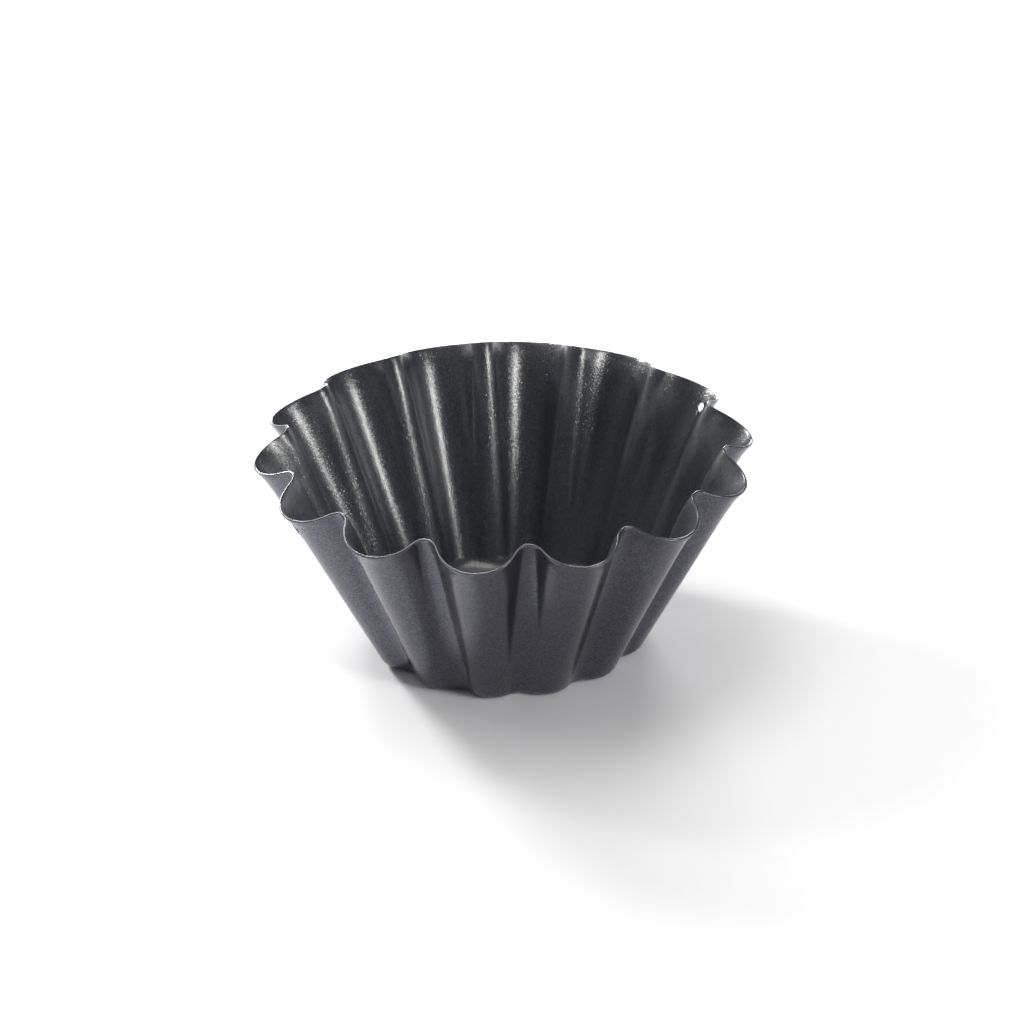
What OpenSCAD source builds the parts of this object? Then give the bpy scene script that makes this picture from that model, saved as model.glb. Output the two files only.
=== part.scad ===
// Fluted brioche mould, pressed from one round of thin coated steel sheet.
// The mould stands on its flat base, with its axis on Z and the floor at z = 0.
// The middle of one outward flute lies on the +X axis.

/* [Sheet] */
// Thickness of the pressed sheet with its coating
sheet_t = 0.5; // [0.3:0.05:1]
// Number of flutes round the wall
flutes = 14; // [10:1:16]

/* [Rim] */
// Diameter over the outward flutes at the rim
rim_d = 100; // [85:1:140]
// How far the folds stand in from the outward flutes at the rim
rim_flute_depth = 6; // [3:0.5:8]
// Outer radius of the bend along each fold at the rim
rim_fold_r = 2.6; // [1.4:0.1:4]
// How much higher the sheet's edge stands at the folds than at the flutes
fold_rise = 3; // [0:0.5:6]

/* [Wall] */
// Height of the rim at the outward flutes
height = 41; // [30:1:60]
// Height below the rim over which the wall curves outward
flare_h = 8; // [4:0.5:12]
// How far that curve carries the rim outward
flare_out = 0.7; // [0:0.1:2]
// Height of the narrow bent lip under the sheet's edge
lip_h = 2.2; // [1:0.1:3.5]
// How far the lip stands out past the curve of the wall
lip_out = 0.3; // [0:0.1:1]

/* [Base] */
// Diameter over the flutes where the lines of the wall meet the table
base_d = 56; // [46:1:70]
// How far the folds stand in from the flutes at the base
base_flute_depth = 1.9; // [1:0.1:3]
// Outer radius of the bend along each fold at the base
base_fold_r = 5; // [2:0.5:6]
// Outer radius of the rounded corner between base and wall
corner_r = 4; // [1.5:0.5:6]

/* [Hanging holes] */
// Diameter of the two hanging holes
hole_d = 2; // [1:0.1:3]
// Height of each hole's middle below the rim
hole_drop = 3.2; // [2.5:0.1:8]

/* [Hidden] */

sheet_colour = [0.24, 0.24, 0.27];

// Steps along half an outward flute, half a fold, the corner and the flare
crest_steps = 5;
fold_steps = 4;
corner_steps = 3;
flare_steps = 2;
hole_facets = 48;

pitch = 360 / flutes;
half_pitch = pitch / 2;
ring_points = 2 * (crest_steps + fold_steps) * flutes;

rim_r = rim_d / 2;
base_r = base_d / 2;
flare_z = height - flare_h;
lip_z = height - lip_h;

// The straight part of the wall, as run per unit of height and as an angle from upright
wall_run = (rim_r - flare_out - lip_out - base_r) / height;
wall_lean = atan(wall_run);

// Radius of the outward flutes' tops and of the folds' tips on the straight wall
function flute_top(z) = base_r + wall_run * z;
function fold_tip(z) = flute_top(z) - base_flute_depth
    - (rim_flute_depth - base_flute_depth) * z / height;
function fold_r(z) = base_fold_r + (rim_fold_r - base_fold_r) * z / height;

// Height above the start of the flare or the lip, as a share of it
function flare_share(z) = max(0, z - flare_z) / flare_h;
function lip_share(z) = max(0, z - lip_z) / lip_h;

// How far the outside stands out from the straight wall, and its run per unit of height
function flare_shift(z) = flare_out * pow(flare_share(z), 2) + lip_out * lip_share(z);
function wall_slope(z) = wall_run + 2 * flare_out * flare_share(z) / flare_h
    + (z > lip_z ? 1 : z == lip_z ? 0.5 : 0) * lip_out / lip_h;

// A station of the outer profile: height, shift from the straight wall, outward normal
function corner_station(turn) = let (
        centre_r = base_r - corner_r * tan((90 - wall_lean) / 2),
        z = corner_r * (1 + sin(turn)))
    [z, centre_r + corner_r * cos(turn) - flute_top(z), [cos(turn), sin(turn)]];
function wall_station(z) = let (lean = atan(wall_slope(z)))
    [z, flare_shift(z), [cos(lean), -sin(lean)]];

wall_foot_z = corner_r * (1 - sin(wall_lean));
stations = concat(
    [for (i = [0:corner_steps]) corner_station(-90 + (90 - wall_lean) * i / corner_steps)],
    [wall_station((wall_foot_z + flare_z) / 2)],
    [for (i = [0:flare_steps - 1]) wall_station(flare_z + (lip_z - flare_z) * i / flare_steps)],
    [wall_station(lip_z), wall_station(height)]);

// Radius of the outward arc that runs straight into the fold's arc on either side
function flute_arc_r(top, tip, bend) = let (s = tip + bend, c = cos(half_pitch))
    (s * s - 2 * s * top * c + top * top - bend * bend) / (2 * (top + bend - s * c));

function on_circle(centre, r, a) = centre + r * [cos(a), sin(a)];
function turned(p, a) = [p.x * cos(a) - p.y * sin(a), p.x * sin(a) + p.y * cos(a)];
function mirrored(p, a) = turned([p.x, -p.y], 2 * a);

// Half a flute, from its top to the fold's tip, drawn in by inset all along
function half_flute(top, tip, bend, inset) = let (
        arc_r = flute_arc_r(top, tip, bend),
        arc_centre = [top - arc_r, 0],
        bend_centre = on_circle([0, 0], tip + bend, half_pitch),
        sweep = atan2(bend_centre.y, bend_centre.x - arc_centre.x))
    concat(
        [for (i = [0:crest_steps]) on_circle(arc_centre, arc_r - inset, sweep * i / crest_steps)],
        [for (i = [1:fold_steps]) on_circle(bend_centre, bend + inset,
            180 + sweep + (half_pitch - sweep) * i / fold_steps)]);

// The closed outline of all the flutes
function outline(top, tip, bend, inset) = let (
        half = half_flute(top, tip, bend, inset),
        back = [for (i = [len(half) - 2:-1:1]) mirrored(half[i], half_pitch)])
    [for (k = [0:flutes - 1]) for (p = concat(half, back)) turned(p, k * pitch)];

// One ring of points at a station, on the outside or a sheet thickness inside it
function ring(station, depth) = let (
        z = station[0],
        top = flute_top(z) + station[1],
        tip = fold_tip(z) + station[1],
        bend = fold_r(z),
        lift = fold_rise * max(0, z - corner_r) / (height - corner_r) / (top - tip),
        outside = outline(top, tip, bend, 0),
        skin = outline(top, tip, bend, depth * station[2].x))
    [for (i = [0:ring_points - 1])
        [skin[i].x, skin[i].y, z - depth * station[2].y + lift * (top - norm(outside[i]))]];

// The two triangles between neighbouring points of one ring and the next
function band(first, next) = [for (i = [0:ring_points - 1]) let (j = (i + 1) % ring_points)
    each [[first + i, next + i, next + j], [first + i, next + j, first + j]]];
function fan(middle, first) = [for (i = [0:ring_points - 1])
    [middle, first + i, first + (i + 1) % ring_points]];

// The whole sheet: base, up the outside, over the edge, down the inside, floor
module pressed_sheet() {
    count = len(stations);
    rings = concat(
        [for (s = stations) ring(s, 0)],
        [for (i = [count - 1:-1:0]) ring(stations[i], sheet_t)]);
    points = concat([for (r = rings) each r], [[0, 0, 0], [0, 0, sheet_t]]);
    base_middle = len(points) - 2;
    floor_middle = len(points) - 1;
    last_ring = (2 * count - 1) * ring_points;
    faces = concat(
        fan(base_middle, 0),
        [for (k = [0:2 * count - 2]) each band(k * ring_points, (k + 1) * ring_points)],
        [for (f = fan(floor_middle, last_ring)) [f[0], f[2], f[1]]]);
    polyhedron(points, faces, convexity = 6);
}

// A drill through the top line of one flute, square to the sheet
module hole_drill() {
    z = height - hole_drop;
    lean = atan(wall_slope(z));
    depth = sheet_t + hole_d;
    translate([flute_top(z) + flare_shift(z), 0, z])
        rotate([0, 90 + lean, 0])
            translate([0, 0, -sheet_t / 2 - depth / 2])
                cylinder(h = depth, d = hole_d, $fn = hole_facets);
}

module fluted_shell() {
    color(sheet_colour)
        difference() {
            pressed_sheet();
            for (k = [0, floor(flutes / 2)])
                rotate(k * pitch)
                    hole_drill();
        }
}

fluted_shell();
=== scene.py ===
"""Looks of the fluted brioche mould: one pressed sheet, its coatings, a pale floor and soft light."""

import math

import bmesh
import bpy
from mathutils import Matrix, Vector


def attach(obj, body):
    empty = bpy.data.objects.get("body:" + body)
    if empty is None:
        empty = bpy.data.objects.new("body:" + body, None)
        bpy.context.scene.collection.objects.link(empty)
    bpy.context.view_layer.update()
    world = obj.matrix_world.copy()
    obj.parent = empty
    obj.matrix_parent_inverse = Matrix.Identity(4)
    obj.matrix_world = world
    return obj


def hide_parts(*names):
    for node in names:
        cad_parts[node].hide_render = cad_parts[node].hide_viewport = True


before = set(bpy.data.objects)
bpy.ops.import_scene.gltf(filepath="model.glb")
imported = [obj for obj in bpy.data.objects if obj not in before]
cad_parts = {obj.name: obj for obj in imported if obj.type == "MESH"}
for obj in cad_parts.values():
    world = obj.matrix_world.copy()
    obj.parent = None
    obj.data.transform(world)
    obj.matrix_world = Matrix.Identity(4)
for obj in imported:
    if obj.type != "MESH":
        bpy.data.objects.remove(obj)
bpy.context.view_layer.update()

scene = bpy.context.scene


# Fluted shell
# One round of thin steel, pressed in one tool into fourteen rounded flutes with tight folds between.
# It is coated satin violet-grey outside and charcoal non-stick inside; the cut edge is worn paler.
# Rings of the fluted outline are bridged into the outer skin, which is then given its thickness.

mm = 0.001
sheet_t = 0.5
flutes = 14
pitch = math.tau / flutes

height = 41
rim_r = 50
base_r = 28
rim_flute_depth = 6
base_flute_depth = 1.9
rim_fold_r = 2.6
base_fold_r = 5
fold_rise = 3
corner_r = 4
flare_h = 8
flare_out = 0.7
lip_h = 2.2
lip_out = 0.3
wall_run = (rim_r - flare_out - lip_out - base_r) / height
wall_lean = math.atan(wall_run)


def stations():
    """Heights of the rings, and how far each stands out from the straight wall."""
    centre_r = base_r - corner_r * math.tan((math.pi / 2 - wall_lean) / 2)
    corner_steps = 9
    for i in range(corner_steps + 1):
        turn = -math.pi / 2 + (math.pi / 2 - wall_lean) * i / corner_steps
        z = corner_r * (1 + math.sin(turn))
        yield z, centre_r + corner_r * math.cos(turn) - base_r - wall_run * z
    wall_foot = corner_r * (1 - math.sin(wall_lean))
    flare_foot = height - flare_h
    lip_foot = height - lip_h
    parts = ((wall_foot, flare_foot, 7), (flare_foot, lip_foot, 4), (lip_foot, height, 3))
    for start, end, steps in parts:
        for i in range(1, steps + 1):
            z = start + (end - start) * i / steps
            flare = max(0, z - flare_foot) / flare_h
            lip = max(0, z - lip_foot) / lip_h
            yield z, flare_out * flare ** 2 + lip_out * lip


def outline(z, shift):
    """The ring of one station as its own small mesh: half a flute, mirrored and turned round."""
    top = base_r + wall_run * z
    tip = top - base_flute_depth - (rim_flute_depth - base_flute_depth) * z / height + shift
    top = top + shift
    bend = base_fold_r + (rim_fold_r - base_fold_r) * z / height
    far = tip + bend
    across = math.cos(pitch / 2)
    crest_r = (far * far - 2 * far * top * across + top * top - bend * bend) / (
        2 * (top + bend - far * across))
    crest_centre = Vector((top - crest_r, 0, z))
    fold_centre = Vector((far * across, far * math.sin(pitch / 2), z))
    sweep = math.atan2(fold_centre.y, fold_centre.x - crest_centre.x)

    bm = bmesh.new()
    crest = bmesh.ops.spin(
        bm, geom=[bm.verts.new((top, 0, z))], cent=crest_centre, axis=(0, 0, 1),
        angle=sweep, steps=10)
    bmesh.ops.spin(
        bm, geom=crest["geom_last"], cent=fold_centre, axis=(0, 0, -1),
        angle=sweep - pitch / 2, steps=8)
    half = bm.verts[:] + bm.edges[:]
    other = bmesh.ops.duplicate(bm, geom=half)["geom"]
    flipped = [part for part in other if isinstance(part, bmesh.types.BMVert)]
    bmesh.ops.scale(bm, verts=flipped, vec=(1, -1, 1))
    bmesh.ops.remove_doubles(bm, verts=bm.verts, dist=0.001)
    bmesh.ops.spin(
        bm, geom=bm.verts[:] + bm.edges[:], cent=(0, 0, 0), axis=(0, 0, 1), angle=math.tau - pitch,
        steps=flutes - 1, use_duplicate=True)
    bmesh.ops.remove_doubles(bm, verts=bm.verts, dist=0.001)

    # The sheet stands higher at the folds than at the flutes, more and more towards the rim
    lift = fold_rise * max(0, z - corner_r) / (height - corner_r) / (top - tip)
    for v in bm.verts:
        v.co.z = z + lift * (top - math.hypot(v.co.x, v.co.y))
    ring = bpy.data.meshes.new("ring")
    bm.to_mesh(ring)
    bm.free()
    return ring


bm = bmesh.new()
last = None
for z, shift in stations():
    before = len(bm.edges)
    bm.from_mesh(outline(z, shift))
    bm.edges.ensure_lookup_table()
    edges = bm.edges[before:]
    if last is None:
        bmesh.ops.contextual_create(bm, geom=edges)
        bmesh.ops.inset_individual(bm, faces=bm.faces[:], thickness=2)
    else:
        bmesh.ops.bridge_loops(bm, edges=last + edges)
        bm.edges.ensure_lookup_table()
    last = edges
bmesh.ops.scale(bm, verts=bm.verts, vec=(mm, mm, mm))

# The faces look outward, and the base downward, so that the thickness goes inward
bmesh.ops.recalc_face_normals(bm, faces=bm.faces)
if min(bm.faces, key=lambda face: face.calc_center_median().z).normal.z > 0:
    bmesh.ops.reverse_faces(bm, faces=bm.faces)
for face in bm.faces:
    face.smooth = True
mesh = bpy.data.meshes.new("fluted_shell_look")
bm.to_mesh(mesh)
bm.free()
shell = bpy.data.objects.new("fluted_shell_look", mesh)
scene.collection.objects.link(shell)


class Wire:
    """A shader socket that can be used in Python expressions."""

    def __init__(self, tree, socket):
        self.tree = tree
        self.socket = socket

    def math(self, kind, other):
        node = self.tree.nodes.new("ShaderNodeMath")
        node.operation = kind
        for slot, value in zip(node.inputs, (self, other)):
            if isinstance(value, Wire):
                self.tree.links.new(value.socket, slot)
            else:
                slot.default_value = value
        return Wire(self.tree, node.outputs[0])

    def __add__(self, other):
        return self.math("ADD", other)

    __radd__ = __add__

    def __sub__(self, other):
        return self.math("SUBTRACT", other)

    def __rsub__(self, other):
        return (self * -1) + other

    def __mul__(self, other):
        return self.math("MULTIPLY", other)

    __rmul__ = __mul__

    def __truediv__(self, other):
        return self.math("DIVIDE", other)

    def over(self, low, high):
        """0 below low, 1 above high, smooth between."""
        share = ((self - low) / (high - low)).math("MINIMUM", 1.0).math("MAXIMUM", 0.0)
        return share * share * (3 - 2 * share)


class Finish:
    """A material or a sky, whose nodes are made by kind and joined by their sockets' identifiers."""

    def __init__(self, owner, output="OutputMaterial"):
        self.owner = owner
        owner.use_nodes = True
        self.tree = owner.node_tree
        self.tree.nodes.clear()
        self.output = output

    def node(self, kind, settings=None, out=0, **inputs):
        """A new node; underscores in the names of its inputs stand for spaces too."""
        node = self.tree.nodes.new("ShaderNode" + kind)
        for key, value in (settings or {}).items():
            setattr(node, key, value)
        slots = {slot.identifier.replace(" ", "_"): slot for slot in node.inputs}
        for key, value in inputs.items():
            if isinstance(value, Wire):
                self.tree.links.new(value.socket, slots[key])
            else:
                slots[key].default_value = value
        return Wire(self.tree, node.outputs[out])

    def place(self):
        """The point of the surface, in the piece's own coordinates."""
        return self.node("TexCoord", out="Object")

    def mix(self, share, first, second):
        """Two colours mixed by share."""
        return self.node(
            "Mix", {"data_type": "RGBA"}, out=2, Factor_Float=share, A_Color=first, B_Color=second)

    def done(self, shader):
        """Joins the shader to the output and returns the material or sky."""
        output = self.tree.nodes.new("ShaderNode" + self.output)
        self.tree.links.new(shader.socket, output.inputs["Surface"])
        return self.owner

    def grains(self, size, tilt):
        """Fine grains: a random tone for each, and a surface normal that leans a little, rarely much."""
        grain = self.node("TexVoronoi", out="Color", Vector=self.place(), Scale=1 / size)
        lean = self.node(
            "VectorMath", {"operation": "SUBTRACT"}, Vector=grain, Vector_001=(0.5, 0.5, 0.5))
        reach = self.node("VectorMath", {"operation": "LENGTH"}, out="Value", Vector=lean)
        lean = self.node(
            "VectorMath", {"operation": "SCALE"}, Vector=lean, Scale=reach * reach * tilt)
        normal = self.node("NewGeometry", out="Normal")
        normal = self.node("VectorMath", {"operation": "ADD"}, Vector=normal, Vector_001=lean)
        normal = self.node("VectorMath", {"operation": "NORMALIZE"}, Vector=normal)
        return self.node("SeparateColor", Color=grain), normal


# Outside: metallic paint with fine flakes, a little cloudy in its gloss
coat_dark = (0.07, 0.07, 0.083, 1)
coat_pale = (0.155, 0.155, 0.184, 1)
coat_flake = 0.18
coat = Finish(bpy.data.materials.new("satin_coat"))
tone, normal = coat.grains(coat_flake * mm, 0.25)
cloud = coat.node("TexNoise", Vector=coat.place(), Scale=60.0, Detail=2.0)
shell.data.materials.append(coat.done(coat.node(
    "BsdfPrincipled", Base_Color=coat.mix(tone, coat_dark, coat_pale), Metallic=1.0,
    Roughness=cloud * 0.06 + 0.2, Normal=normal)))

# Inside: a grainy charcoal non-stick layer under a smoother gloss, faintly warm where it shines
lining_dark = (0.02, 0.0225, 0.03, 1)
lining_pale = (0.085, 0.09, 0.11, 1)
lining_grain = 0.16
lining = Finish(bpy.data.materials.new("nonstick_lining"))
tone, normal = lining.grains(lining_grain * mm, 0.75)
shell.data.materials.append(lining.done(lining.node(
    "BsdfPrincipled", Base_Color=lining.mix(tone, lining_dark, lining_pale), Roughness=0.29,
    IOR=1.95, Specular_Tint=(1, 1, 0.96, 1), Normal=normal,
    Coat_Weight=0.55, Coat_Roughness=0.27, Coat_IOR=1.6)))

# Middle of the cut edge: the coating is thin there, and worn a little paler
edge_dark = (0.19, 0.19, 0.2, 1)
edge_pale = (0.28, 0.28, 0.29, 1)
edge = Finish(bpy.data.materials.new("cut_edge"))
grain = edge.node("TexNoise", Vector=edge.place(), Scale=900.0, Detail=2.0)
shell.data.materials.append(edge.done(edge.node(
    "BsdfPrincipled", Base_Color=edge.mix(grain.over(0.3, 0.7), edge_dark, edge_pale),
    Metallic=1.0, Roughness=0.4)))

# The sheet's thickness, and its two rounded corners along the cut edge in the outside's paint
edge_round = 0.17
thick = shell.modifiers.new("sheet", "SOLIDIFY")
thick.thickness = sheet_t * mm
thick.offset = -1
thick.use_even_offset = True
thick.material_offset = 1
thick.material_offset_rim = 2
round_edge = shell.modifiers.new("edge", "BEVEL")
round_edge.width = edge_round * mm
round_edge.segments = 3
round_edge.material = 0
round_edge.limit_method = "ANGLE"
round_edge.angle_limit = math.radians(60)

# Two hanging holes, square to the sheet, in opposite flutes
hole_r = 1
hole_drop = 3.2
drill_l = 3
hole_z = height - hole_drop
hole_flare = (flare_h - hole_drop) / flare_h
hole_lean = math.atan(wall_run + 2 * flare_out * hole_flare / flare_h)
hole_away = base_r + wall_run * hole_z + flare_out * hole_flare ** 2
middle = Vector((
    hole_away - sheet_t / 2 * math.cos(hole_lean), 0, hole_z + sheet_t / 2 * math.sin(hole_lean)))
drill = bpy.data.meshes.new("drill")
bm = bmesh.new()
for turn in (0, math.pi):
    place = (Matrix.Rotation(turn, 4, "Z") @ Matrix.Translation(middle * mm)
             @ Matrix.Rotation(math.pi / 2 + hole_lean, 4, "Y"))
    bmesh.ops.create_cone(
        bm, cap_ends=True, segments=48, radius1=hole_r * mm, radius2=hole_r * mm,
        depth=drill_l * mm, matrix=place)
bm.to_mesh(drill)
bm.free()
cutter = bpy.data.objects.new("drill", drill)
scene.collection.objects.link(cutter)
cut = shell.modifiers.new("hanging_holes", "BOOLEAN")
cut.operation = "DIFFERENCE"
cut.object = cutter
cut.solver = "EXACT"

# The modifiers are made part of the mesh, so that the drill can go
bpy.context.view_layer.update()
depsgraph = bpy.context.evaluated_depsgraph_get()
finished = bpy.data.meshes.new_from_object(shell.evaluated_get(depsgraph))
shell.modifiers.clear()
shell.data = finished
bpy.data.objects.remove(cutter)
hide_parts("fluted_shell")
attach(shell, "root")


# Floor and backdrop
# One round of white paper, flat under the mould and bent up far away into a low wall all round.
# What the camera sees of it is twice as bright as what lights the mould, and white far away.

floor_r = 5
wall_h = 0.85
glow_from = 0.2
glow_full = 0.7
bm = bmesh.new()
bmesh.ops.create_circle(bm, cap_ends=True, segments=96, radius=floor_r)
rise = bmesh.ops.extrude_edge_only(bm, edges=bm.edges[:])["geom"]
top_edge = [part for part in rise if isinstance(part, bmesh.types.BMVert)]
bmesh.ops.translate(bm, verts=top_edge, vec=(0, 0, wall_h))
mesh = bpy.data.meshes.new("floor")
bm.to_mesh(mesh)
bm.free()
floor = bpy.data.objects.new("floor", mesh)
scene.collection.objects.link(floor)

paper = Finish(bpy.data.materials.new("paper"))
tone = paper.node("TexNoise", Vector=paper.place(), Scale=40.0, Detail=2.0)
colour = paper.mix(tone, (0.73, 0.73, 0.73, 1), (0.74, 0.74, 0.74, 1))
away = paper.node("VectorMath", {"operation": "LENGTH"}, out="Value", Vector=paper.place())
seen = paper.node("LightPath", out="Is Camera Ray") + paper.node("LightPath", out="Is Glossy Ray")
seen = seen + paper.node("LightPath", out="Is Transmission Ray")
matte = paper.node("BsdfDiffuse", Color=colour)
bright = paper.node("AddShader", Shader=matte, Shader_001=matte)
glow = paper.node("Emission", Strength=away.over(glow_from, glow_full))
bright = paper.node("AddShader", Shader=bright, Shader_001=glow)
floor.data.materials.append(paper.done(paper.node(
    "MixShader", Fac=seen, Shader=matte, Shader_001=bright)))


# Light and camera
# Five soft boxes and a sky that is dark on the near side light the table at a plain level of about 1.


def bearing(azimuth, elevation):
    """The direction from the mould at those degrees."""
    a = math.radians(azimuth)
    e = math.radians(elevation)
    return Vector((math.cos(e) * math.cos(a), math.cos(e) * math.sin(a), math.sin(e)))


def soft_light(name, azimuth, elevation, away, width, tall, share):
    """A soft box at that bearing, facing the mould, giving its share of the light on the table."""
    toward = bearing(azimuth, elevation)
    data = bpy.data.lights.new(name, "AREA")
    data.shape = "RECTANGLE"
    data.size = width
    data.size_y = tall
    data.energy = share * math.pi ** 2 * away ** 2 / toward.z
    light = bpy.data.objects.new(name, data)
    light.location = toward * away
    light.rotation_euler = toward.to_track_quat("Z", "Y").to_euler()
    scene.collection.objects.link(light)


soft_light("key", 105.4, 31.8, 0.469, 0.076, 0.065, 0.205)
soft_light("upper_key", 120.0, 44.1, 0.453, 0.053, 0.074, 0.088)
soft_light("overhead", 120, 76, 1.5, 1.3, 0.8, 0.24)
soft_light("back", 59.1, 10.7, 1.542, 0.661, 0.3, 0.142)
soft_light("front", -70, 25, 1.3, 0.3, 0.46, 0.145)

# The sky is brightest high on the far side, and even and dim on the near side
sky_least = 0.04
sky_rise = 0.2
sky = Finish(bpy.data.worlds.new("studio"), "OutputWorld")
toward = sky.node(
    "VectorMath", {"operation": "DOT_PRODUCT"}, out="Value",
    Vector=sky.node("TexCoord", out="Generated"), Vector_001=bearing(98.6, 60))
scene.world = sky.done(sky.node(
    "Background", Color=(1, 1, 1, 1), Strength=toward.over(0, 1) * sky_rise + sky_least))

# The camera's lens, place, aim and roll are fitted to the rim, sides and base in the photo
camera_data = bpy.data.cameras.new("camera")
camera_data.lens = 130.69
camera_data.sensor_width = 36
camera_data.clip_start = 0.01
camera = bpy.data.objects.new("camera", camera_data)
scene.collection.objects.link(camera)
spot = Vector((-0.3414260, -0.5594486, 0.3848335))
aim = Vector((0.0011472, -0.0007001, 0.0274091))
forward = (aim - spot).normalized()
level_right = forward.cross(Vector((0, 0, 1))).normalized()
level_up = level_right.cross(forward)
roll = -0.010914
right = math.cos(roll) * level_right + math.sin(roll) * level_up
up = math.cos(roll) * level_up - math.sin(roll) * level_right
turn = Matrix((right, up, -forward)).transposed().to_4x4()
camera.matrix_world = Matrix.Translation(spot) @ turn
scene.camera = camera
scene.view_settings.view_transform = "Standard"
